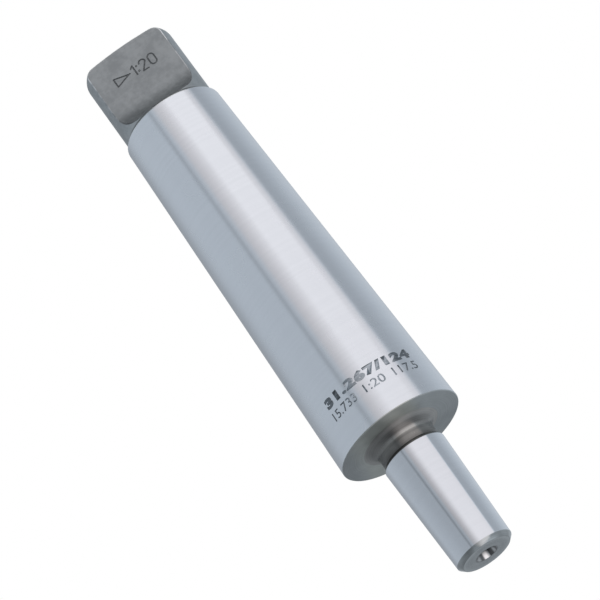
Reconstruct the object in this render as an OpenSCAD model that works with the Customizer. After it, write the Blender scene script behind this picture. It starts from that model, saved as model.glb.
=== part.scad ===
// Drill chuck arbor with a long tanged taper shank and a short chuck taper, in millimetres.
// It is one piece of turned and ground steel. +Z runs along its axis, from the chuck end to
// the tang. The origin is the centre of the flat face at the chuck end, on which the arbor
// stands, and the marked flat of the tang faces -Y.

/* [Shank taper] */
// Diameter of the shank taper at its gauge plane
shank_gauge_d = 31.267; // [30.2:0.001:33]
// Distance from the large end of the shank taper to its gauge plane
shank_gauge_offset = 6.5; // [4:0.1:9]
// Length over which the shank taper changes its diameter by one
shank_taper = 19.254; // [18:0.001:21]
// Length of the ground shank cone
shank_cone_len = 100.7; // [94:0.1:104]
// Length of the shank, from the large end of its cone to the end of the tang
shank_len = 124; // [121:0.5:130]
// Bevel at the large end of the shank cone
rim_break = 0.2; // [0.1:0.05:0.5]
// Round at the small end of the shank cone
small_end_round = 0.5; // [0.2:0.05:0.7]

/* [Tang] */
// Diameter of the turned stub that the tang is milled from
tang_d = 24.5; // [22:0.1:24.8]
// Fillet between the stub and the small end of the shank cone
tang_root_r = 0.3; // [0.1:0.05:0.4]
// Thickness of the tang across its two flats
tang_thickness = 11.9; // [9:0.1:14]
// Length of the flats, from the end of the tang to where the cutter runs out
tang_flat_len = 15; // [12:0.5:15]
// Radius of the cutter that milled the flats, left at their run-out
tang_cutter_r = 8; // [5:0.5:8]
// Radius of the tang's crowned end
tang_crown_r = 94; // [60:1:200]
// Round between the crowned end and the side of the stub
tang_corner_r = 2.2; // [1:0.1:4]

/* [Chuck taper] */
// Diameter of the chuck taper at its gauge plane
nose_gauge_d = 15.733; // [15:0.001:17]
// Distance from the large end of the chuck taper to its gauge plane
nose_gauge_offset = 5; // [3:0.1:7]
// Length over which the chuck taper changes its diameter by one
nose_taper = 20.02; // [18:0.001:22]
// Length of the chuck taper, with its chamfer
nose_cone_len = 29; // [22:0.5:36]
// Chamfer at the chuck end
nose_chamfer = 1; // [0.5:0.1:2]

/* [Neck] */
// Gap along the axis between the chuck taper and the shoulder of the shank
neck_gap = 5.8; // [4.5:0.1:10]
// Diameter of the neck
neck_d = 14.7; // [12:0.1:14.9]
// Length of the slope from the large end of the chuck taper down to the neck
neck_slope_len = 0.9; // [0.5:0.1:1.5]
// Fillet between the neck and the shoulder
shoulder_fillet_r = 2.6; // [1:0.1:3]

/* [Centre holes] */
// Diameter of the centre holes' countersinks
centre_d = 5.3; // [4:0.1:6.5]
// Full angle of the countersinks
centre_angle = 60; // [60:15:90]
// Diameter of the pilot holes
pilot_d = 2.5; // [1.6:0.1:3.2]
// Depth of the pilot holes, without the cone that the drill leaves
pilot_depth = 5.5; // [5:0.5:9]
// Full angle of the cone that the drill leaves
pilot_tip_angle = 118; // [90:1:140]

/* [Engraved mark] */
// Height of the figures
mark_h = 3.1; // [2:0.1:4]
// Width of each figure
mark_figure_w = 1.7; // [1.2:0.1:2.2]
// Length of the taper sign
mark_sign_len = 3.9; // [2.5:0.1:5]
// Gap between neighbouring figures
mark_spacing = 0.85; // [0.6:0.05:1.1]
// Width of the engraved groove
mark_groove_w = 0.34; // [0.2:0.02:0.5]
// Depth of the engraved groove
mark_groove_depth = 0.15; // [0.05:0.05:0.3]
// Distance from the end of the tang to the middle of the figures
mark_from_end = 8; // [5:0.1:10]

/* [Hidden] */
$fn = 96;
// How far a cutting solid reaches past the face that it cuts
cut_over = 1;

// Places along the axis
shoulder_z = nose_cone_len + neck_gap;
small_end_z = shoulder_z + shank_cone_len;
tang_end_z = shoulder_z + shank_len;
flat_start_z = tang_end_z - tang_flat_len;

// Radii
neck_r = neck_d / 2;
tang_r = tang_d / 2;
centre_r = centre_d / 2;
pilot_r = pilot_d / 2;
function nose_r(z) = (nose_gauge_d + (z - nose_cone_len + nose_gauge_offset) / nose_taper) / 2;
function shank_r(z) = (shank_gauge_d - (z - shoulder_z - shank_gauge_offset) / shank_taper) / 2;

// Centre of the round at the shank's small end, which touches the cone and the end face
shank_half_angle = atan(1 / (2 * shank_taper));
small_round_z = small_end_z - small_end_round;
small_round_x = shank_r(small_round_z) - small_end_round / cos(shank_half_angle);

// Centre of the tang's corner round, which touches the crown and the side of the stub
crown_centre_z = tang_end_z - tang_crown_r;
corner_x = tang_r - tang_corner_r;
corner_reach = tang_crown_r - tang_corner_r;
corner_z = crown_centre_z + sqrt(pow(corner_reach, 2) - pow(corner_x, 2));
corner_angle = asin(corner_x / corner_reach);
crown_edge_x = tang_crown_r * sin(corner_angle);
crown_edge_z = crown_centre_z + tang_crown_r * cos(corner_angle);

// Countersinks
countersink_slope = tan(centre_angle / 2);
countersink_depth = (centre_r - pilot_r) / countersink_slope;
pilot_tip_len = pilot_r / tan(pilot_tip_angle / 2);

// Half profile of the chuck taper and the neck
module nose_profile() {
    polygon([
        [0, 0],
        [nose_r(nose_chamfer) - nose_chamfer, 0],
        [nose_r(nose_chamfer), nose_chamfer],
        [nose_r(nose_cone_len), nose_cone_len],
        [neck_r, nose_cone_len + neck_slope_len],
        [neck_r, shoulder_z],
        [0, shoulder_z]
    ]);
    difference() {
        translate([0, shoulder_z - shoulder_fillet_r])
            square([neck_r + shoulder_fillet_r, shoulder_fillet_r]);
        translate([neck_r + shoulder_fillet_r, shoulder_z - shoulder_fillet_r])
            circle(r = shoulder_fillet_r);
    }
}

// Half profile of the shank cone
module shank_profile() {
    polygon([
        [0, shoulder_z],
        [shank_r(shoulder_z) - rim_break, shoulder_z],
        [shank_r(shoulder_z + rim_break), shoulder_z + rim_break],
        [
            small_round_x + small_end_round * cos(shank_half_angle),
            small_round_z + small_end_round * sin(shank_half_angle)
        ],
        [small_round_x, small_round_z],
        [small_round_x, small_end_z],
        [0, small_end_z]
    ]);
    translate([small_round_x, small_round_z])
        circle(r = small_end_round);
}

// Half profile of the turned stub behind the shank cone, with its crowned end
module stub_profile() {
    polygon([
        [0, small_end_z],
        [tang_r, small_end_z],
        [tang_r, corner_z],
        [corner_x, corner_z],
        [crown_edge_x, crown_edge_z],
        [0, crown_edge_z]
    ]);
    translate([corner_x, corner_z])
        circle(r = tang_corner_r);
    intersection() {
        translate([0, crown_centre_z])
            circle(r = tang_crown_r, $fn = 720);
        translate([0, small_end_z])
            square([crown_edge_x, shank_len]);
    }
    difference() {
        translate([0, small_end_z])
            square([tang_r + tang_root_r, tang_root_r]);
        translate([tang_r + tang_root_r, small_end_z + tang_root_r])
            circle(r = tang_root_r);
    }
}

// Everything that is turned
module turned_body() {
    rotate_extrude() {
        nose_profile();
        shank_profile();
        stub_profile();
    }
}

// Centre hole, from a face at z = 0 into +Z
module centre_hole() {
    rotate_extrude()
        polygon([
            [0, -cut_over],
            [centre_r + cut_over * countersink_slope, -cut_over],
            [pilot_r, countersink_depth],
            [pilot_r, pilot_depth],
            [0, pilot_depth + pilot_tip_len]
        ]);
}

// What the cutter takes off the -Y side of the tang
module flat_cut() {
    translate([-tang_d, -tang_thickness / 2 - tang_d, flat_start_z])
        cube([2 * tang_d, tang_d, tang_flat_len + cut_over]);
    translate([0, -tang_thickness / 2 - tang_cutter_r, flat_start_z])
        rotate([0, 90, 0])
            cylinder(r = tang_cutter_r, h = 2 * tang_d, center = true);
}

// One straight groove with round ends, drawn flat
module stroke(from, to) {
    run = to - from;
    translate(from)
        rotate(atan2(run[1], run[0]))
            translate([0, -mark_groove_w / 2])
                square([norm(run), mark_groove_w]);
    for (end = [from, to])
        translate(end)
            circle(d = mark_groove_w, $fn = 24);
}

// One curved groove that turns half round its centre, drawn flat
module half_ring(centre, radius, turn) {
    translate(centre)
        rotate(turn)
            difference() {
                circle(r = radius + mark_groove_w / 2, $fn = 48);
                circle(r = radius - mark_groove_w / 2, $fn = 48);
                translate([-2 * radius, -2 * radius])
                    square([4 * radius, 2 * radius]);
            }
}

// The sign for a taper: a long triangle on its axis
module taper_sign() {
    base = 0.8 * mark_h;
    low = (mark_h - base) / 2;
    tip = [mark_sign_len, mark_h / 2];
    stroke([0, low], [0, low + base]);
    stroke([0, low], tip);
    stroke([0, low + base], tip);
    stroke(tip, tip + [mark_spacing / 2, 0]);
}

module figure_one() {
    foot = [mark_figure_w / 2, 0];
    head = [mark_figure_w / 2, mark_h];
    stroke(foot, head);
    stroke(head, head - [mark_figure_w / 2, mark_h / 4]);
}

module ratio_dots() {
    for (height = [mark_h / 4, mark_h * 3 / 4])
        translate([0, height])
            circle(d = 1.5 * mark_groove_w, $fn = 24);
}

module figure_two() {
    bend_r = mark_figure_w / 2;
    half_ring([bend_r, mark_h - bend_r], bend_r, 0);
    stroke([mark_figure_w, mark_h - bend_r], [0, 0]);
    stroke([0, 0], [mark_figure_w, 0]);
}

module figure_nought() {
    bend_r = mark_figure_w / 2;
    half_ring([bend_r, mark_h - bend_r], bend_r, 0);
    half_ring([bend_r, bend_r], bend_r, 180);
    for (side = [0, mark_figure_w])
        stroke([side, bend_r], [side, mark_h - bend_r]);
}

// The whole mark, drawn flat with its middle at the origin: a taper sign and a plain ratio
module mark_profile() {
    one_x = mark_sign_len + mark_spacing;
    dots_x = one_x + mark_figure_w / 2 + mark_spacing;
    two_x = dots_x + mark_spacing;
    nought_x = two_x + mark_figure_w + mark_spacing;
    full_w = nought_x + mark_figure_w;
    translate([-full_w / 2, -mark_h / 2]) {
        taper_sign();
        translate([one_x, 0]) figure_one();
        translate([dots_x, 0]) ratio_dots();
        translate([two_x, 0]) figure_two();
        translate([nought_x, 0]) figure_nought();
    }
}

// The engraved mark, as a cut into the -Y flat
module mark_cut() {
    translate([0, -tang_thickness / 2 + mark_groove_depth, tang_end_z - mark_from_end])
        rotate([90, 0, 0])
            linear_extrude(height = mark_groove_depth + cut_over)
                mark_profile();
}

module arbor() {
    color("silver")
        difference() {
            turned_body();
            centre_hole();
            translate([0, 0, tang_end_z])
                mirror([0, 0, 1])
                    centre_hole();
            flat_cut();
            mirror([0, 1, 0])
                flat_cut();
            mark_cut();
        }
}

arbor();
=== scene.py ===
import math

import bmesh
import bpy
from mathutils import Matrix, Quaternion, Vector


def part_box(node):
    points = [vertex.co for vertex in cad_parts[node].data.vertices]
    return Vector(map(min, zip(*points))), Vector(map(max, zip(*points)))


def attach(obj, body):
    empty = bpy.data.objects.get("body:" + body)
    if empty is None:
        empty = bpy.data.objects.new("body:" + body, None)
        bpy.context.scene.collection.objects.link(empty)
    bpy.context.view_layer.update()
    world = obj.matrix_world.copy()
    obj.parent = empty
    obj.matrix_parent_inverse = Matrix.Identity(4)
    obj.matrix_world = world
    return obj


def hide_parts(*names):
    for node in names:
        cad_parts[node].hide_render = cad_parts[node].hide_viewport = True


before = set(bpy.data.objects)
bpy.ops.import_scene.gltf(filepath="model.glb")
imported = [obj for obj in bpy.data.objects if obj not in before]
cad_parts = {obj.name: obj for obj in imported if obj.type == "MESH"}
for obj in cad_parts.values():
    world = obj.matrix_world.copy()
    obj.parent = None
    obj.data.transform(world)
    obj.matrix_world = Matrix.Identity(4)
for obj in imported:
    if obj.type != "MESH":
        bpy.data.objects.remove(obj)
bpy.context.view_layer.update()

# A drill chuck arbor with a tanged taper shank, standing on its chuck end.
# The arbor is modelled in millimetres and scaled to metres at the end of each piece.

mm = 0.001
mergeWithin = 0.0005
nodeLow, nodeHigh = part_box("arbor")
scene = bpy.context.scene
scene.view_settings.view_transform = "Standard"


# Shader sums as plain expressions

class Wire:
    def __init__(self, sheet, socket):
        self.sheet = sheet
        self.socket = socket

    def sum(self, operation, first, second=0.0):
        return self.sheet.node("Math", {"operation": operation}, {0: first, 1: second})

    def __add__(self, other):
        return self.sum("ADD", self, other)

    def __radd__(self, other):
        return self.sum("ADD", other, self)

    def __sub__(self, other):
        return self.sum("SUBTRACT", self, other)

    def __rsub__(self, other):
        return self.sum("SUBTRACT", other, self)

    def __mul__(self, other):
        return self.sum("MULTIPLY", self, other)

    def __rmul__(self, other):
        return self.sum("MULTIPLY", other, self)

    def __truediv__(self, other):
        return self.sum("DIVIDE", self, other)

    def absolute(self):
        return self.sum("ABSOLUTE", self)

    def root(self):
        return self.sum("SQRT", self)


class Sheet:
    def __init__(self, tree):
        self.tree = tree
        tree.nodes.clear()

    def node(self, kind, settings=None, sockets=None, output=0):
        made = self.tree.nodes.new("ShaderNode" + kind)
        for name, value in (settings or {}).items():
            if name == "stops":
                fillRamp(made.color_ramp, value)
            else:
                setattr(made, name, value)
        for name, value in (sockets or {}).items():
            if isinstance(value, Wire):
                self.tree.links.new(value.socket, made.inputs[name])
            else:
                made.inputs[name].default_value = value
        return Wire(self, made.outputs[output]) if made.outputs else None

    # A value between two others, by a smooth step
    def step(self, value, low, high, atLow=0.0, atHigh=1.0):
        return self.node("MapRange", {"interpolation_type": "SMOOTHSTEP"}, {
            0: value, 1: low, 2: high, 3: atLow, 4: atHigh})

    def blend(self, share, first, second):
        return self.node("Mix", {"data_type": "RGBA"}, {0: share, 6: first, 7: second}, output=2)

    # A tone between the tones of a list of places and tones, which stay below 2
    def tones(self, value, stops):
        low, high = stops[0][0], stops[-1][0]
        ramp = [((place - low) / (high - low), grey(tone / 2)) for place, tone in stops]
        read = self.node("ValToRGB", {"stops": ramp}, {0: (value - low) / (high - low)})
        return self.node("SeparateColor", sockets={0: read}) * 2

    # A colour made darker or lighter
    def tint(self, colour, tone):
        return self.node("VectorMath", {"operation": "SCALE"}, {0: colour, 3: tone})

    def split(self, vector):
        return [self.node("SeparateXYZ", sockets={0: vector}, output=n) for n in range(3)]

    # Distance from the axis
    def reach(self, across, away):
        return (across * across + away * away).root()

    # Noise on Object coordinates, with so many waves to a metre each way
    def noise(self, place, waves, detail=2.0, roughness=0.5):
        stretched = self.node("VectorMath", {"operation": "MULTIPLY"}, {0: place, 1: waves})
        return self.node("TexNoise", {"noise_dimensions": "3D"}, {
            "Vector": stretched, "Scale": 1.0, "Detail": detail, "Roughness": roughness})


def fillRamp(ramp, stops):
    while len(ramp.elements) > 1:
        ramp.elements.remove(ramp.elements[-1])
    for number, (position, colour) in enumerate(stops):
        element = ramp.elements[0] if number == 0 else ramp.elements.new(position)
        element.position = position
        element.color = colour


def grey(level, tint=(1, 1, 1)):
    return (level * tint[0], level * tint[1], level * tint[2], 1)


# Starts a finish: its material, its sheet of nodes and its Object coordinates
def startFinish(name):
    material = bpy.data.materials.new(name)
    material.use_nodes = True
    sheet = Sheet(material.node_tree)
    place = sheet.node("TexCoord", output=3)
    return material, sheet, place


# Two colours mixed by the strength of a pattern
def mottled(sheet, look, pattern):
    return sheet.blend(sheet.step(pattern, *look["contrast"]), look["darkerColour"], look["colour"])


# Rings that a turning tool leaves, over faces and round outsides alike, and the patches they waver by
def toolRings(sheet, look, place, radius, along):
    patches = sheet.noise(place, look["patches"], detail=3.0)
    path = (radius + along) * look["ringsPerMetre"] + patches * look["ringWander"]
    rings = sheet.node("TexNoise", {"noise_dimensions": "1D"}, {
        "W": path, "Scale": 1.0, "Detail": 1.0})
    return rings, patches


# Ends a finish as metal, with a roughness that swings with one pattern and a bump from another
def closeFinish(sheet, look, colour, roughness, swing, bump):
    normal = sheet.node("Bump", sockets={
        "Strength": look["bumpStrength"], "Distance": look["bumpDepth"] * mm, "Height": bump})
    shader = sheet.node("BsdfPrincipled", sockets={
        "Base Color": colour,
        "Metallic": 1.0,
        "Roughness": roughness + (swing - 0.5) * look["roughnessSwing"],
        "Anisotropic": look["anisotropy"],
        "Anisotropic Rotation": 0.25,
        "Normal": normal,
    })
    sheet.node("OutputMaterial", sockets={"Surface": shader})


# Ground tapers: satin steel with fine grinding lines round the axis, finest on the chuck taper

groundLook = {
    "colour": (0.486, 0.516, 0.546, 1),
    "darkerColour": (0.471, 0.501, 0.531, 1),
    "contrast": (0.35, 0.65),
    "roughness": 0.27,
    "noseRoughness": 0.17,
    "neckAt": (0.031, 0.033),
    "roughnessSwing": 0.04,
    "anisotropy": 0.89,
    "fineLines": (40, 40, 9000),
    "broadLines": (25, 25, 1400),
    "patches": (90, 90, 60),
    "bumpDepth": 0.002,
    "bumpStrength": 0.06,
}


def groundFinish():
    look = groundLook
    material, sheet, place = startFinish("groundSteel")
    fine = sheet.noise(place, look["fineLines"])
    broad = sheet.noise(place, look["broadLines"], detail=1.0)
    patches = sheet.noise(place, look["patches"], detail=3.0)
    colour = mottled(sheet, look, fine * 0.2 + broad * 0.4 + patches * 0.4)
    across, away, along = sheet.split(place)
    roughness = sheet.step(along, *look["neckAt"], look["noseRoughness"], look["roughness"])
    closeFinish(sheet, look, colour, roughness, patches, fine)
    return material


# The turned neck: dull steel with tool rings, and bands of painted highlight and painted shade

turnedLook = {
    "colour": (0.262, 0.262, 0.252, 1),
    "darkerColour": (0.200, 0.201, 0.196, 1),
    "contrast": (0.35, 0.65),
    # Tone of the bands of painted highlight and painted shade in front, by height
    "bands": [(0.0290, 1.25), (0.0301, 0.52), (0.0310, 0.84), (0.0318, 0.78), (0.0325, 1.50),
              (0.0333, 0.46), (0.0341, 0.56), (0.0348, 1.5)],
    # Tone of the bands of painted highlight and painted shade at the sides, by height
    "sideBands": [(0.0298, 0.6), (0.0302, 0.42), (0.0309, 0.80), (0.0319, 1.35), (0.0328, 0.64),
                  (0.0335, 0.64), (0.0341, 0.85), (0.0348, 1.45)],
    # Share of the painted highlight and shade bands in front, by the sine of the angle round the axis
    "frontShare": [(-0.95, 0.12), (-0.55, 0.35), (-0.25, 1.0), (0.5, 0.9), (0.9, 0.15)],
    # Painted shade and painted light: the neck is darker on one side and lighter on the other
    "sideTones": (0.88, 1.16),
    "sideAt": (-0.0055, 0.0045),
    "roughness": 0.26,
    "filletRoughness": 0.46,
    "filletAt": (0.0330, 0.0347),
    "roughnessSwing": 0.08,
    "anisotropy": 0.7,
    "ringsPerMetre": 5200,
    "ringWander": 0.6,
    "patches": (260, 260, 260),
    "bumpDepth": 0.006,
    "bumpStrength": 0.6,
}


def turnedFinish():
    look = turnedLook
    material, sheet, place = startFinish("turnedSteel")
    across, away, along = sheet.split(place)
    radius = sheet.reach(across, away)
    rings, patches = toolRings(sheet, look, place, radius, along)
    steel = mottled(sheet, look, rings * 0.5 + patches * 0.5)
    # Painted highlight and painted shade: bands by height, strongest in front and fading to the sides
    front = sheet.tones(across / radius, look["frontShare"])
    sideTone = sheet.tones(along, look["sideBands"])
    tone = sideTone + (sheet.tones(along, look["bands"]) - sideTone) * front
    # Painted shade on one side of the neck, painted light on the other
    paintedSideTone = sheet.step(across, *look["sideAt"], *look["sideTones"])
    colour = sheet.tint(steel, tone * paintedSideTone)
    roughness = sheet.step(along, *look["filletAt"], look["roughness"], look["filletRoughness"])
    closeFinish(sheet, look, colour, roughness, patches, rings)
    return material


# Faced steel: the shoulder, and finer the chuck end and its chamfer, with tool rings round the axis

facedLook = {
    "colour": (0.385, 0.412, 0.416, 1),
    "darkerColour": (0.312, 0.336, 0.340, 1),
    "contrast": (0.35, 0.65),
    "roughness": 0.20,
    "shoulderRoughness": 0.48,
    # Tone of the chuck end, by radius: painted shade at the rim of the centre hole, face, a painted
    # highlight at its edge, chamfer
    "endTones": [(0.0026, 0.55), (0.00285, 0.60), (0.0031, 1.08), (0.0045, 1.0), (0.0054, 1.14),
                 (0.0060, 1.35), (0.0063, 0.94), (0.0075, 0.90)],
    # Painted highlight and painted shade on the chamfer: its tone by the sine of the angle round the
    # axis
    "chamferTones": [(-0.75, 1.0), (-0.5, 0.8), (-0.26, 1.15), (0.0, 0.95), (0.26, 1.2),
                     (0.5, 1.35), (0.71, 0.85), (0.9, 0.9)],
    "chamferFrom": (0.0062, 0.0064),
    # The shoulder, told from the chuck end by its height, has painted shade on one side and is warmer
    # in front
    "shoulderFrom": (0.010, 0.020),
    "shoulderTones": (0.84, 1.07),
    "shoulderToneAt": (-0.0145, -0.0085),
    "warmTint": (1.03, 1.01, 0.945, 1),
    "warmPlaces": [(-0.013, 0.0), (-0.0095, 1.0), (0.005, 1.0), (0.0075, 0.0)],
    "roughnessSwing": 0.08,
    "anisotropy": 0.6,
    "ringsPerMetre": 5200,
    "ringWander": 0.6,
    "patches": (260, 260, 260),
    "bumpDepth": 0.005,
    "bumpStrength": 0.5,
}


def facedFinish():
    look = facedLook
    material, sheet, place = startFinish("facedSteel")
    across, away, along = sheet.split(place)
    radius = sheet.reach(across, away)
    rings, patches = toolRings(sheet, look, place, radius, along)
    steel = mottled(sheet, look, rings * 0.5 + patches * 0.5)
    onShoulder = sheet.step(along, *look["shoulderFrom"])
    warmth = sheet.tones(across, look["warmPlaces"]) * onShoulder
    warmed = sheet.node("VectorMath", {"operation": "MULTIPLY"}, {
        0: steel, 1: sheet.blend(warmth, (1, 1, 1, 1), look["warmTint"])})
    # Painted highlight and painted shade on the chamfer
    onChamfer = sheet.step(radius, *look["chamferFrom"])
    chamferTone = 1 + (sheet.tones(across / radius, look["chamferTones"]) - 1) * onChamfer
    # Painted shade round the centre hole and a painted highlight at the edge of the face
    endTone = sheet.tones(radius, look["endTones"]) * chamferTone
    # Painted shade on one side of the shoulder
    shoulderTone = sheet.step(across, *look["shoulderToneAt"], *look["shoulderTones"])
    colour = sheet.tint(warmed, endTone + (shoulderTone - endTone) * onShoulder)
    roughness = sheet.step(along, *look["shoulderFrom"], look["roughness"], look["shoulderRoughness"])
    closeFinish(sheet, look, colour, roughness, patches, rings)
    return material


# Centre holes: bright countersinks, with painted shade that darkens them towards the pilot holes

boredLook = {
    "colour": (0.41, 0.42, 0.42, 1),
    "holeShadeColour": (0.035, 0.040, 0.040, 1),
    # Painted highlight and painted shade: tone of the countersinks across the hole, dark on both
    # sides of a bright middle
    "stripes": [(-0.00265, 0.5), (-0.0022, 0.85), (-0.0018, 0.7), (-0.0015, 0.4), (-0.0010, 0.5),
                (-0.0007, 1.45), (0.0005, 1.45), (0.0007, 0.3), (0.0015, 0.3), (0.0018, 0.8),
                (0.0021, 0.8), (0.0024, 0.35)],
    "roughness": 0.2,
    "roughnessSwing": 0.1,
    "anisotropy": 0.5,
    "rings": (60, 60, 7000),
    "bumpDepth": 0.004,
    "bumpStrength": 0.4,
    "mouthDepth": (0.0004, 0.0019),
}


def boredFinish():
    look = boredLook
    material, sheet, place = startFinish("boredSteel")
    across, away, along = sheet.split(place)
    halfLength = tangEndHeight * mm / 2
    depth = halfLength - (along - halfLength).absolute()
    rings = sheet.noise(place, look["rings"], detail=1.0)
    # Painted shade, deeper in the hole
    mouth = sheet.blend(sheet.step(depth, *look["mouthDepth"]), look["colour"], look["holeShadeColour"])
    # Painted highlight in the middle of the countersink and painted shade on its sides
    colour = sheet.tint(mouth, sheet.tones(across, look["stripes"]))
    closeFinish(sheet, look, colour, look["roughness"], rings, rings)
    return material


# The tang: dark hardened skin, mottled, with faint cutter lines across the flats

tangLook = {
    "colour": (0.236, 0.256, 0.264, 1),
    "darkerColour": (0.182, 0.199, 0.206, 1),
    "contrast": (0.38, 0.62),
    # Painted light: the round sides are lighter than the flats, most of all beside the run-out of the
    # cutter, and painted shade darkens the root against the shank
    "sideTones": (1.22, 1.18),
    "sideTonesAt": (0.1425, 0.1440),
    "sideRadius": (0.01205, 0.01220),
    "rootTone": 0.45,
    "rootAt": (0.13605, 0.13640),
    "roughness": 0.50,
    "roughnessSwing": 0.15,
    "anisotropy": 0.2,
    "mottle": (700, 700, 700),
    "clouds": (160, 160, 160),
    "cutterLines": (60, 60, 3200),
    "bumpDepth": 0.012,
    "bumpStrength": 0.5,
}


def tangFinish():
    look = tangLook
    material, sheet, place = startFinish("tangSteel")
    mottle = sheet.noise(place, look["mottle"], detail=4.0, roughness=0.6)
    clouds = sheet.noise(place, look["clouds"], detail=3.0)
    lines = sheet.noise(place, look["cutterLines"], detail=1.0)
    steel = mottled(sheet, look, mottle * 0.5 + clouds * 0.42 + lines * 0.08)
    across, away, along = sheet.split(place)
    # Painted light on the round sides, and painted shade at the root
    sideTone = sheet.step(along, *look["sideTonesAt"], *look["sideTones"])
    side = sheet.step(sheet.reach(across, away), *look["sideRadius"], 1.0, sideTone)
    root = sheet.step(along, *look["rootAt"], look["rootTone"], 1.0)
    colour = sheet.tint(steel, side * root)
    closeFinish(sheet, look, colour, look["roughness"], mottle, mottle * 0.85 + lines * 0.15)
    return material


# Edges of the flats: rubbed steel with a painted highlight, brightest near the tang's end, and
# painted shade where the cutter ran out.
# Their tones go by height.

edgeLook = {
    "colour": (0.40, 0.42, 0.43, 1),
    "darkerColour": (0.25, 0.27, 0.28, 1),
    "contrast": (0.4, 0.6),
    "tones": [(0.1395, 0.45), (0.1450, 0.75), (0.1520, 0.80), (0.1552, 1.1)],
    "roughness": 0.42,
    "roughnessSwing": 0.1,
    "anisotropy": 0.0,
    "patches": (500, 500, 500),
    "bumpDepth": 0.004,
    "bumpStrength": 0.3,
}


def edgeFinish():
    look = edgeLook
    material, sheet, place = startFinish("rubbedEdgeAndHighlight")
    patches = sheet.noise(place, look["patches"], detail=3.0)
    across, away, along = sheet.split(place)
    # Rubbed steel, with painted highlight and painted shade by height
    colour = sheet.tint(mottled(sheet, look, patches), sheet.tones(along, look["tones"]))
    closeFinish(sheet, look, colour, look["roughness"], patches, patches)
    return material


# The engraved grooves, dark and rough

grooveLook = {
    "colour": (0.125, 0.135, 0.140, 1),
    "darkerColour": (0.085, 0.092, 0.096, 1),
    "roughness": 0.55,
    "roughnessSwing": 0.1,
    "anisotropy": 0.0,
    "patches": (1500, 1500, 1500),
    "bumpDepth": 0.01,
    "bumpStrength": 0.5,
}


def grooveFinish():
    look = grooveLook
    material, sheet, place = startFinish("grooveSteel")
    patches = sheet.noise(place, look["patches"], detail=3.0)
    colour = sheet.blend(patches, look["darkerColour"], look["colour"])
    closeFinish(sheet, look, colour, look["roughness"], patches, patches)
    return material


# Dark etched figures on the shank

etchLook = {
    "colour": (0.215, 0.240, 0.262, 1),
    "darkerColour": (0.135, 0.155, 0.170, 1),
    "contrast": (0.35, 0.65),
    # Painted reflection: tone by the sine of the angle round the axis, lighter in the middle
    "tones": [(-0.68, 0.62), (-0.42, 0.62), (-0.25, 1.25), (0.45, 1.42), (0.58, 0.75), (0.8, 0.62)],
    "roughness": 0.32,
    "roughnessSwing": 0.1,
    "anisotropy": 0.8,
    "hatching": (500, 500, 5200),
    "bumpDepth": 0.004,
    "bumpStrength": 0.4,
}


def etchFinish():
    look = etchLook
    material, sheet, place = startFinish("etchedSteel")
    hatching = sheet.noise(place, look["hatching"])
    across, away, along = sheet.split(place)
    # Painted reflection: the figures are lighter in the middle
    tone = sheet.tones(across / sheet.reach(across, away), look["tones"])
    colour = sheet.tint(mottled(sheet, look, hatching), tone)
    closeFinish(sheet, look, colour, look["roughness"], hatching, hatching)
    return material


# The turned body, in millimetres from the chuck end

turned = {
    "shankGaugeWidth": 31.267,
    "shankGaugeOffset": 6.5,
    "shankTaper": 19.254,
    "shankConeLength": 100.7,
    "shankLength": 124,
    "rimBreak": 0.2,
    "smallEndRound": 0.5,
    "tangWidth": 24.5,
    "tangRootRound": 0.3,
    "tangCrownRadius": 94,
    "tangCornerRound": 2.2,
    "noseGaugeWidth": 15.733,
    "noseGaugeOffset": 5,
    "noseTaper": 20.02,
    "noseConeLength": 29,
    "noseChamfer": 1,
    "neckGap": 5.8,
    "neckWidth": 14.7,
    "neckSlope": 0.9,
    "shoulderFillet": 2.6,
    "centreWidth": 5.3,
    "centreAngle": 60,
    "pilotWidth": 2.5,
    "pilotDepth": 5.5,
    "pilotTipAngle": 118,
    "edgeSoftening": 0.07,
    "softenedFrom": 22,
    "sharpFrom": 50,
    "steepBelow": 0.3,
    # Degrees to a step of the spin, and how far beside the flats' edges it starts, as a sine
    "stepAngle": 1.9,
    "startBeside": 0.004,
    # Steps of the outline's arcs
    "filletSteps": 14,
    "smallEndSteps": 5,
    "rootSteps": 3,
    "cornerSteps": 9,
    "crownSteps": 6,
}
shoulderHeight = turned["noseConeLength"] + turned["neckGap"]
smallEndHeight = shoulderHeight + turned["shankConeLength"]
tangEndHeight = shoulderHeight + turned["shankLength"]

groundSteel = groundFinish()
turnedSteel = turnedFinish()
facedSteel = facedFinish()
boredSteel = boredFinish()
tangSteel = tangFinish()
rubbedEdgeAndHighlight = edgeFinish()
grooveSteel = grooveFinish()
etchedSteel = etchFinish()
print("finishes made")


def shankRadius(height):
    run = height - shoulderHeight - turned["shankGaugeOffset"]
    return (turned["shankGaugeWidth"] - run / turned["shankTaper"]) / 2


def noseRadius(height):
    run = height - turned["noseConeLength"] + turned["noseGaugeOffset"]
    return (turned["noseGaugeWidth"] + run / turned["noseTaper"]) / 2


# Points along an arc, as radius and height
def arc(centre, radius, fromAngle, toAngle, steps):
    points = []
    for step in range(steps + 1):
        angle = math.radians(fromAngle + (toAngle - fromAngle) * step / steps)
        points.append((centre[0] + radius * math.cos(angle), centre[1] + radius * math.sin(angle)))
    return points


# A centre hole's outline, from the tip of its pilot out to its face at height 0
def centreHole():
    centreRadius, pilotRadius = turned["centreWidth"] / 2, turned["pilotWidth"] / 2
    slope = math.tan(math.radians(turned["centreAngle"] / 2))
    tip = pilotRadius / math.tan(math.radians(turned["pilotTipAngle"] / 2))
    return [
        (0, turned["pilotDepth"] + tip),
        (pilotRadius, turned["pilotDepth"]),
        (pilotRadius, (centreRadius - pilotRadius) / slope),
        (centreRadius, 0),
    ]


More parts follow.
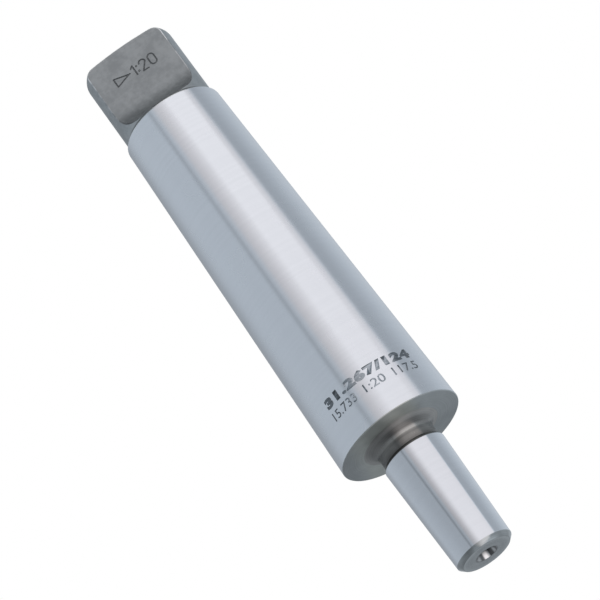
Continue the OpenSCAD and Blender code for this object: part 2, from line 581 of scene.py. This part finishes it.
# The chuck taper and the neck, up to the shoulder
def noseOutline():
    chamfer, neckRadius = turned["noseChamfer"], turned["neckWidth"] / 2
    fillet = turned["shoulderFillet"]
    return [
        (noseRadius(chamfer) - chamfer, 0),
        (noseRadius(chamfer), chamfer),
        (noseRadius(turned["noseConeLength"]), turned["noseConeLength"]),
        (neckRadius, turned["noseConeLength"] + turned["neckSlope"]),
        *arc((neckRadius + fillet, shoulderHeight - fillet), fillet, 180, 90,
             turned["filletSteps"]),
    ]


# The shank cone, with its rim and the round at its small end
def shankOutline():
    rim, small = turned["rimBreak"], turned["smallEndRound"]
    halfAngle = math.atan(1 / (2 * turned["shankTaper"]))
    roundHeight = smallEndHeight - small
    roundCentre = shankRadius(roundHeight) - small / math.cos(halfAngle)
    return [
        (shankRadius(shoulderHeight) - rim, shoulderHeight),
        (shankRadius(shoulderHeight + rim), shoulderHeight + rim),
        *arc((roundCentre, roundHeight), small, math.degrees(halfAngle), 90, turned["smallEndSteps"]),
    ]


# The stub that the tang is milled from
def stubOutline():
    tangRadius, root = turned["tangWidth"] / 2, turned["tangRootRound"]
    crown, corner = turned["tangCrownRadius"], turned["tangCornerRound"]
    crownCentre = tangEndHeight - crown
    cornerRadius = tangRadius - corner
    cornerHeight = crownCentre + math.sqrt((crown - corner) ** 2 - cornerRadius ** 2)
    cornerAngle = math.degrees(math.acos(cornerRadius / (crown - corner)))
    holeAngle = math.degrees(math.acos(turned["centreWidth"] / 2 / crown))
    rootCentre = (tangRadius + root, smallEndHeight + root)
    return [
        *arc(rootCentre, root, 270, 180, turned["rootSteps"]),
        *arc((cornerRadius, cornerHeight), corner, 0, cornerAngle, turned["cornerSteps"]),
        *arc((0, crownCentre), crown, cornerAngle, holeAngle, turned["crownSteps"])[1:-1],
    ]


# The centre hole at the tang end opens in the crown, a little lower than the crown's top
def farCentreHole():
    centreRadius = turned["centreWidth"] / 2
    sag = centreRadius ** 2 / (2 * turned["tangCrownRadius"])
    mouth = centreRadius - sag * math.tan(math.radians(turned["centreAngle"] / 2))
    inside = [(radius, tangEndHeight - depth) for radius, depth in reversed(centreHole()[:-1])]
    return [(mouth, tangEndHeight - sag)] + inside


def arborOutline():
    return centreHole() + noseOutline() + shankOutline() + stubOutline() + farCentreHole()


def newObject(name, mesh, *materials):
    made = bpy.data.objects.new(name, mesh)
    scene.collection.objects.link(made)
    for material in materials:
        mesh.materials.append(material)
    return made


def meshFrom(bm, name):
    mesh = bpy.data.meshes.new(name)
    bm.to_mesh(mesh)
    bm.free()
    return mesh


# Spins the outline round the axis, in four turns that start just outside the edges that the flats
# will have, and softens the turned edges
def turnedBody():
    edgeAngle = math.asin(flats["thickness"] / turned["tangWidth"] + turned["startBeside"])
    bm = bmesh.new()
    verts = [bm.verts.new((radius * math.cos(edgeAngle), -radius * math.sin(edgeAngle), height))
             for radius, height in arborOutline()]
    line = verts + [bm.edges.new(pair) for pair in zip(verts, verts[1:])]
    for angle in (2 * edgeAngle, math.pi - 2 * edgeAngle) * 2:
        steps = round(math.degrees(angle) / turned["stepAngle"])
        spun = bmesh.ops.spin(bm, geom=line, cent=(0, 0, 0), axis=(0, 0, 1), dvec=(0, 0, 0),
                              angle=angle, steps=steps)
        line = spun["geom_last"]
    bmesh.ops.remove_doubles(bm, verts=bm.verts, dist=mergeWithin)
    bmesh.ops.recalc_face_normals(bm, faces=bm.faces)
    sharp = [edge for edge in bm.edges
             if edge.is_manifold and edge.calc_face_angle() > math.radians(turned["softenedFrom"])]
    bmesh.ops.bevel(bm, geom=sharp, offset=turned["edgeSoftening"], segments=2, profile=0.5,
                    affect="EDGES", material=-1, clamp_overlap=True)
    return newObject("turnedArbor", meshFrom(bm, "turnedArbor"), groundSteel, turnedSteel, facedSteel,
                     boredSteel, tangSteel)


# The two flats of the tang

flats = {
    "thickness": 11.9,
    "length": 15,
    "cutterRadius": 8,
    "runOutSteps": 40,
    "overrun": 2,
    "edgeBreak": 0.2,
    # Edges of the mesh that reach the border are cleared away below this length, edges in it below
    # the shortest, in so many rounds at most
    "clearance": 0.32,
    "shortest": 0.12,
    "clearings": 16,
    # Weights of X, Y and Z in the order of the mesh's parts
    "orderWeights": (1, 37, 1009),
}


# What the cutter takes off one side, as an outline drawn in the plane of Y and Z and pushed along X
def flatCutter(side):
    half, radius = flats["thickness"] / 2, flats["cutterRadius"]
    start = tangEndHeight - flats["length"]
    top, outside = tangEndHeight + flats["overrun"], turned["tangWidth"]
    outline = [
        (half, top),
        *arc((half + radius, start), radius, 180, 270, flats["runOutSteps"]),
        (outside, start - radius),
        (outside, top),
    ]
    bm = bmesh.new()
    face = bm.faces.new([bm.verts.new((-outside, side * away, height)) for away, height in outline])
    pushed = bmesh.ops.extrude_face_region(bm, geom=[face])
    moved = [part for part in pushed["geom"] if isinstance(part, bmesh.types.BMVert)]
    bmesh.ops.translate(bm, verts=moved, vec=(2 * outside, 0, 0))
    bmesh.ops.recalc_face_normals(bm, faces=bm.faces)
    return newObject("flatCutter", meshFrom(bm, "flatCutter"), rubbedEdgeAndHighlight)


# Takes a cutter out of a piece. The cut faces keep the cutter's material.
def cutAway(piece, cutter):
    cut = piece.modifiers.new("cut", "BOOLEAN")
    cut.operation = "DIFFERENCE"
    cut.solver = "EXACT"
    cut.use_self = True
    cut.material_mode = "TRANSFER"
    cut.object = cutter
    applyModifiers(piece)
    bpy.data.objects.remove(cutter)


def applyModifiers(piece):
    bpy.context.view_layer.update()
    shown = piece.evaluated_get(bpy.context.evaluated_depsgraph_get())
    mesh = bpy.data.meshes.new_from_object(shown)
    piece.modifiers.clear()
    piece.data = mesh


# A number for a place, to put parts of a mesh in the same order each time
def order(place):
    return sum(round(value, 4) * weight for value, weight in zip(place, flats["orderWeights"]))


def middleOf(edge):
    return (edge.verts[0].co + edge.verts[1].co) / 2


# Draws short edges at the border into it, so that the bevel doesn't fold over them
def clearBorder(bm, onBorder):
    for _ in range(flats["clearings"]):
        rim = {vert for edge in bm.edges if onBorder(edge) for vert in edge.verts}
        short = []
        for edge in bm.edges:
            inRim = [vert in rim for vert in edge.verts]
            limit = flats["clearance"] if inRim[0] != inRim[1] else flats["shortest"]
            if any(inRim) and edge.calc_length() < limit and (onBorder(edge) or not all(inRim)):
                short.append((round(edge.calc_length(), 4), order(middleOf(edge)), edge))
        joins, taken = {}, set()
        for length, place, edge in sorted(short, key=lambda found: found[:2]):
            kept, dropped = sorted(edge.verts, key=lambda vert: (vert not in rim, order(vert.co)))
            if taken.isdisjoint((kept, dropped)):
                joins[dropped] = kept
                taken.update((kept, dropped))
        if not joins:
            break
        bmesh.ops.weld_verts(bm, targetmap=joins)


# Breaks every edge between a cut face and a turned one
def breakFlatEdges(piece):
    bm = bmesh.new()
    bm.from_mesh(piece.data)
    cutIndex = piece.data.materials.find(rubbedEdgeAndHighlight.name)
    grooveIndex = piece.data.materials.find(grooveSteel.name)
    bmesh.ops.remove_doubles(bm, verts=bm.verts, dist=mergeWithin)

    def onBorder(edge):
        finishes = {face.material_index for face in edge.link_faces}
        return cutIndex in finishes and len(finishes) == 2 and grooveIndex not in finishes

    clearBorder(bm, onBorder)
    bm.verts.sort(key=lambda vert: order(vert.co))
    bm.edges.sort(key=lambda edge: order(middleOf(edge)))
    bm.faces.sort(key=lambda face: order(face.calc_center_median()))
    border = [edge for edge in bm.edges if onBorder(edge)]
    for face in bm.faces:
        if face.material_index == cutIndex:
            face.material_index = piece.data.materials.find(tangSteel.name)
    broken = bmesh.ops.bevel(bm, geom=border, offset=flats["edgeBreak"], segments=3, profile=0.5,
                             affect="EDGES", material=-1, clamp_overlap=False)
    for face in broken["faces"]:
        face.material_index = cutIndex
    bm.to_mesh(piece.data)
    bm.free()


# The engraved mark, drawn flat with single strokes: a taper sign and a plain ratio

engraved = {
    "height": 3.1,
    "figureWidth": 1.7,
    "signLength": 3.9,
    "spacing": 0.85,
    "grooveWidth": 0.40,
    # The grooves' middle lines run this far outside the flat
    "lift": 0.013,
    "dotRadius": 0.09,
    "dotSteps": 8,
    "bendSteps": 16,
    "grooveRounding": 2,
    "pointSpacing": 0.15,
    "fromEnd": 8,
}


def figureStrokes():
    tall, wide, gap = engraved["height"], engraved["figureWidth"], engraved["spacing"]
    base = 0.8 * tall
    low, bend, steps = (tall - base) / 2, wide / 2, engraved["bendSteps"]
    sign = [
        [(0, low), (0, low + base), (engraved["signLength"], tall / 2), (0, low)],
        [(engraved["signLength"], tall / 2), (engraved["signLength"] + gap / 2, tall / 2)],
    ]
    one = [[(0, tall * 3 / 4), (bend, tall), (bend, 0)]]
    dots = [arc((0, tall * share), engraved["dotRadius"], 0, 360, engraved["dotSteps"])
            for share in (1 / 4, 3 / 4)]
    hook = arc((bend, tall - bend), bend, 180, 0, steps)
    two = [hook + [(0, 0), (wide, 0)]]
    ring = hook + arc((bend, bend), bend, 0, -180, steps)
    nought = [ring + ring[:1]]
    oneAt = engraved["signLength"] + gap
    dotsAt = oneAt + bend + gap
    twoAt = dotsAt + gap
    noughtAt = twoAt + wide + gap
    middle = (noughtAt + wide) / 2
    strokes = []
    for shift, figure in ((0, sign), (oneAt, one), (dotsAt, dots), (twoAt, two), (noughtAt, nought)):
        for stroke in figure:
            strokes.append([(across + shift - middle, up - tall / 2) for across, up in stroke])
    return strokes


# A stroke with enough points that its groove keeps its width at the corners
def closelySet(stroke):
    points = []
    for start, end in zip(stroke, stroke[1:]):
        count = math.ceil(math.dist(start, end) / engraved["pointSpacing"])
        for step in range(count):
            share = step / count
            points.append(tuple(near + (far - near) * share for near, far in zip(start, end)))
    return points + stroke[-1:]


# Round bars along the strokes, set in the marked flat to be cut out of it
def engravingTool():
    curve = bpy.data.curves.new("engravingTool", "CURVE")
    curve.dimensions = "3D"
    curve.bevel_depth = engraved["grooveWidth"] / 2
    curve.bevel_resolution = engraved["grooveRounding"]
    curve.use_fill_caps = True
    middle = tangEndHeight - engraved["fromEnd"]
    for stroke in figureStrokes():
        closed = math.dist(stroke[0], stroke[-1]) < mergeWithin
        places = closelySet(stroke)[:-1] if closed else closelySet(stroke)
        line = curve.splines.new("POLY")
        line.use_cyclic_u = closed
        line.points.add(len(places) - 1)
        for point, (across, up) in zip(line.points, places):
            point.co = (across, -flats["thickness"] / 2 - engraved["lift"], middle + up, 1)
    drawn = bpy.data.objects.new("engravingTool", curve)
    scene.collection.objects.link(drawn)
    bpy.context.view_layer.update()
    mesh = bpy.data.meshes.new_from_object(drawn.evaluated_get(bpy.context.evaluated_depsgraph_get()))
    bpy.data.objects.remove(drawn)
    mesh.materials.clear()
    bm = bmesh.new()
    bm.from_mesh(mesh)
    bmesh.ops.remove_doubles(bm, verts=bm.verts, dist=mergeWithin)
    bmesh.ops.recalc_face_normals(bm, faces=bm.faces)
    return newObject("engravingTool", meshFrom(bm, "engravingTool"), grooveSteel)


# Gives each face the finish of its zone, apart from broken edges and grooves
def paintZones(piece):
    place = {material.name: number for number, material in enumerate(piece.data.materials)}
    neckEdge = turned["neckWidth"] / 2 + turned["shoulderFillet"]
    for face in piece.data.polygons:
        if face.material_index in (place[rubbedEdgeAndHighlight.name], place[grooveSteel.name]):
            continue
        height = face.center.z
        radius = math.hypot(face.center.x, face.center.y)
        steep = abs(face.normal.z) < turned["steepBelow"]
        if radius < turned["centreWidth"] / 2:
            finish = boredSteel
        elif height > smallEndHeight - turned["rimBreak"]:
            finish = tangSteel
        elif steep and turned["noseChamfer"] < height < turned["noseConeLength"]:
            finish = groundSteel
        elif steep and height > shoulderHeight:
            finish = groundSteel
        elif height > turned["noseConeLength"] and radius < neckEdge:
            finish = turnedSteel
        else:
            finish = facedSteel
        face.material_index = place[finish.name]


def makeArbor():
    piece = turnedBody()
    cutAway(piece, flatCutter(1))
    cutAway(piece, flatCutter(-1))
    cutAway(piece, engravingTool())
    breakFlatEdges(piece)
    paintZones(piece)
    piece.data.transform(Matrix.Scale(mm, 4))
    piece.data.shade_smooth()
    piece.data.set_sharp_from_angle(angle=math.radians(turned["sharpFrom"]))
    steady = piece.modifiers.new("steadyNormals", "WEIGHTED_NORMAL")
    steady.keep_sharp = True
    steady.weight = 100
    applyModifiers(piece)
    return piece


arborPiece = makeArbor()
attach(arborPiece, "root")
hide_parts("arbor")
print("arbor made:", len(arborPiece.data.polygons), "faces")


# Two rows of plain size figures etched round the shank

etched = {
    "bigRow": {"words": ["31.267/124"], "from": [-41.0], "to": [50.5],
               "low": 45.1, "high": 47.8, "weight": 0.07},
    "smallRow": {"words": ["15.733", "1:20", "117.5"], "from": [-41.0, -3.9, 25.0],
                 "to": [-12.7, 16.4, 50.5], "low": 41.9, "high": 44.1, "weight": 0.006},
    "spacePerWeight": 2,
    "curveSteps": 4,
    "proud": 0.012,
    "thickness": 0.02,
    "slice": 0.4,
    "mergeWithin": 0.001,
}


# One run of figures as flat mesh, its lower left corner at the origin, drawn to a width and a height
def flatFigures(words, width, height, weight):
    letters = bpy.data.curves.new("figures", "FONT")
    letters.body = words
    letters.offset = weight
    letters.space_character = 1 + weight * etched["spacePerWeight"]
    letters.resolution_u = etched["curveSteps"]
    drawn = bpy.data.objects.new("figures", letters)
    scene.collection.objects.link(drawn)
    bpy.context.view_layer.update()
    mesh = bpy.data.meshes.new_from_object(drawn.evaluated_get(bpy.context.evaluated_depsgraph_get()))
    bpy.data.objects.remove(drawn)
    xs = [vert.co.x for vert in mesh.vertices]
    ys = [vert.co.y for vert in mesh.vertices]
    mesh.transform(Matrix.Translation((-min(xs), -min(ys), 0)))
    mesh.transform(Matrix.Diagonal((width / (max(xs) - min(xs)), height / (max(ys) - min(ys)), 1, 1)))
    return mesh


# Wraps a run of figures round the shank, between two angles from the side of the marked flat
def wrapFigures(bm, words, fromAngle, toAngle, low, high, weight):
    middle = (low + high) / 2
    radius = shankRadius(middle)
    width = radius * math.radians(toAngle - fromAngle)
    mesh = flatFigures(words, width, high - low, weight)
    part = bmesh.new()
    part.from_mesh(mesh)
    bmesh.ops.remove_doubles(part, verts=part.verts, dist=etched["mergeWithin"])
    for cut in range(1, int(width / etched["slice"])):
        bmesh.ops.bisect_plane(part, geom=part.verts[:] + part.edges[:] + part.faces[:], dist=0.0001,
                               plane_co=(cut * etched["slice"], 0, 0), plane_no=(1, 0, 0))
    for vert in part.verts:
        angle = math.radians(fromAngle) + vert.co.x / radius
        height = low + vert.co.y
        reach = shankRadius(height) + etched["proud"]
        vert.co = (reach * math.sin(angle), -reach * math.cos(angle), height)
    wrapped = bpy.data.meshes.new("wrapped")
    part.to_mesh(wrapped)
    part.free()
    bm.from_mesh(wrapped)


def makeEtching():
    bm = bmesh.new()
    for row in (etched["bigRow"], etched["smallRow"]):
        for words, fromAngle, toAngle in zip(row["words"], row["from"], row["to"]):
            wrapFigures(bm, words, fromAngle, toAngle, row["low"], row["high"], row["weight"])
    for face in bm.faces:
        centre = face.calc_center_median()
        if face.normal.dot(Vector((centre.x, centre.y, 0))) < 0:
            face.normal_flip()
    bmesh.ops.solidify(bm, geom=bm.faces[:], thickness=etched["thickness"])
    bmesh.ops.recalc_face_normals(bm, faces=bm.faces)
    bmesh.ops.scale(bm, verts=bm.verts, vec=(mm, mm, mm))
    return newObject("etchedFigures", meshFrom(bm, "etchedFigures"), etchedSteel)


etchingPiece = makeEtching()
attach(etchingPiece, "root")
print("etched figures made")


# The studio

studio = {
    "floorRadius": 3.0,
    "floorSides": 96,
    "floorColour": (0.96, 0.965, 0.97, 1),
    "floorFade": (0.25, 0.9),
    "warm": (1.0, 0.950, 0.965),
    "cool": (0.940, 1.000, 1.080),
    "warmFrom": (1.22, 1.43),
    # Brightness round the horizon: degrees from -Y towards +X, and level
    "ring": [(-180, 0.56), (-158, 0.47), (-138, 0.63), (-115, 0.91), (-78, 1.08), (-36, 1.22),
             (-31, 0.71), (-26, 1.20), (-14, 1.44), (0, 1.48), (30, 1.46), (50, 1.45), (70, 1.42),
             (73.5, 0.69), (90, 0.70), (122, 0.89), (145, 0.90), (165, 0.70), (180, 0.56)],
    # The far edge of the softbox leans in, by so many degrees at the horizon
    "lean": 9,
    "leanHeight": (0.46, 0.0),
    "leanFrom": (0, 54),
    # Beside the softbox the wall is darker from this height down
    "gapFrom": (-155, -30),
    "gapTo": (12, -18),
    "gapHeight": (0.45, 0.40),
    "gapLoss": 0.50,
    # Less comes from above in front, and from below at the back and the sides. Heights and sides
    # are parts of a unit direction.
    "zenithHeight": (0.58, 0.92),
    "zenithFront": (0.35, 0.0),
    "zenithLoss": 0.7,
    "lowHeight": (-0.05, -0.30),
    "lowBack": (0.2, 0.75),
    "lowBackLoss": 0.25,
    "deepHeight": (-0.35, -0.70),
    "deepLeft": (-0.10, -0.45),
    "deepLeftLoss": 0.46,
    "deepRight": (0.42, 0.62),
    "deepRightLoss": 0.3,
}


def makeFloor():
    bm = bmesh.new()
    bmesh.ops.create_circle(bm, cap_ends=True, segments=studio["floorSides"],
                            radius=studio["floorRadius"])
    floor = newObject("floor", meshFrom(bm, "floor"))
    material, sheet, place = startFinish("floorPaper")
    across, away, along = sheet.split(place)
    far = sheet.step(sheet.reach(across, away), *studio["floorFade"])
    paper = sheet.node("BsdfDiffuse", sockets={"Color": studio["floorColour"]})
    white = sheet.node("Emission", sockets={"Color": (1, 1, 1, 1), "Strength": 1.0})
    clear = sheet.node("BsdfTransparent")
    top = sheet.node("MixShader", sockets={0: far, 1: paper, 2: white})
    behind = sheet.node("NewGeometry", output=6)
    sheet.node("OutputMaterial", sockets={
        "Surface": sheet.node("MixShader", sockets={0: behind, 1: top, 2: clear})})
    floor.data.materials.append(material)
    floor.visible_shadow = False
    floor.visible_diffuse = False
    floor.visible_glossy = False
    floor.visible_transmission = False


# An angle from -Y towards +X as a share of a whole turn, which starts at +Y
def shareOfTurn(angle):
    return (angle + 180) / 360


def makeWorld():
    world = bpy.data.worlds.new("studio")
    world.use_nodes = True
    scene.world = world
    sheet = Sheet(world.node_tree)
    across, away, up = sheet.split(sheet.node("TexCoord", output=0))
    upright = across.sum("ARCTAN2", across, 0 - away) / (2 * math.pi) + 0.5
    leaning = sheet.step(upright, *map(shareOfTurn, studio["leanFrom"]))
    turn = upright + leaning * sheet.step(up, *studio["leanHeight"]) * (studio["lean"] / 360)
    stops = [(shareOfTurn(angle), grey(level / 2)) for angle, level in studio["ring"]]
    ring = sheet.node("ValToRGB", {"stops": stops}, {0: turn})
    ringLevel = sheet.node("SeparateColor", sockets={0: ring}) * 2
    bright = sheet.step(ringLevel, *studio["warmFrom"])
    tint = sheet.blend(bright, grey(1, studio["cool"]), grey(1, studio["warm"]))
    high = sheet.step(up, *studio["zenithHeight"]) * sheet.step(away, *studio["zenithFront"])
    lowBack = sheet.step(up, *studio["lowHeight"]) * sheet.step(away, *studio["lowBack"])
    deep = sheet.step(up, *studio["deepHeight"])
    deepLeft = deep * sheet.step(across, *studio["deepLeft"])
    deepRight = deep * sheet.step(across, *studio["deepRight"])
    gapStart = sheet.step(turn, *map(shareOfTurn, studio["gapFrom"]))
    gapEnd = sheet.step(turn, *map(shareOfTurn, studio["gapTo"]))
    gap = gapStart * gapEnd * sheet.step(up, *studio["gapHeight"])
    front = ringLevel * (1 - studio["zenithLoss"] * high) * (1 - studio["gapLoss"] * gap)
    sides = (1 - studio["deepLeftLoss"] * deepLeft) * (1 - studio["deepRightLoss"] * deepRight)
    strength = front * sides * (1 - studio["lowBackLoss"] * lowBack)
    seen = sheet.node("Background", sockets={"Color": tint, "Strength": strength})
    white = sheet.node("Background", sockets={"Color": (1, 1, 1, 1), "Strength": 1.0})
    glossy = sheet.node("LightPath", output=3)
    sheet.node("OutputWorld", sockets={
        "Surface": sheet.node("MixShader", sockets={0: glossy, 1: white, 2: seen})})


# The direction of an azimuth, in degrees from -Y towards +X, and an elevation
def direction(azimuth, elevation):
    turn, tilt = math.radians(azimuth), math.radians(elevation)
    return Vector((math.sin(turn) * math.cos(tilt), -math.cos(turn) * math.cos(tilt), math.sin(tilt)))


# One soft lamp, for the shadow on the floor and what isn't seen in reflections

softbox = {
    "azimuth": 35,
    "elevation": 50,
    "distance": 1.2,
    "width": 0.9,
    "height": 0.9,
    "power": 1.2,
}


def makeLamp():
    light = bpy.data.lights.new("softbox", "AREA")
    light.shape = "RECTANGLE"
    light.size = softbox["width"]
    light.size_y = softbox["height"]
    light.energy = softbox["power"]
    lamp = bpy.data.objects.new("softbox", light)
    scene.collection.objects.link(lamp)
    outward = direction(softbox["azimuth"], softbox["elevation"])
    lamp.location = Vector((0, 0, nodeHigh.z / 2)) + outward * softbox["distance"]
    lamp.rotation_mode = "QUATERNION"
    lamp.rotation_quaternion = outward.to_track_quat("Z", "Y")


# The camera, placed as the photograph was taken

cameraPlace = {
    "lens": 169.79,
    "sensor": 36,
    "clipStart": 0.01,
    "aim": (-0.000344, 0.000013, 0.077538),
    "distance": 0.66227,
    "azimuth": -2.168,
    "elevation": -25.288,
    "roll": -36.063,
}


def makeCamera():
    lens = bpy.data.cameras.new("camera")
    lens.sensor_width = cameraPlace["sensor"]
    lens.lens = cameraPlace["lens"]
    lens.clip_start = cameraPlace["clipStart"]
    camera = bpy.data.objects.new("camera", lens)
    scene.collection.objects.link(camera)
    outward = direction(cameraPlace["azimuth"], cameraPlace["elevation"])
    roll = Quaternion((0, 0, 1), math.radians(cameraPlace["roll"]))
    camera.location = Vector(cameraPlace["aim"]) + outward * cameraPlace["distance"]
    camera.rotation_mode = "QUATERNION"
    camera.rotation_quaternion = outward.to_track_quat("Z", "Y") @ roll
    scene.camera = camera


makeFloor()
makeWorld()
makeLamp()
makeCamera()
print("studio made")
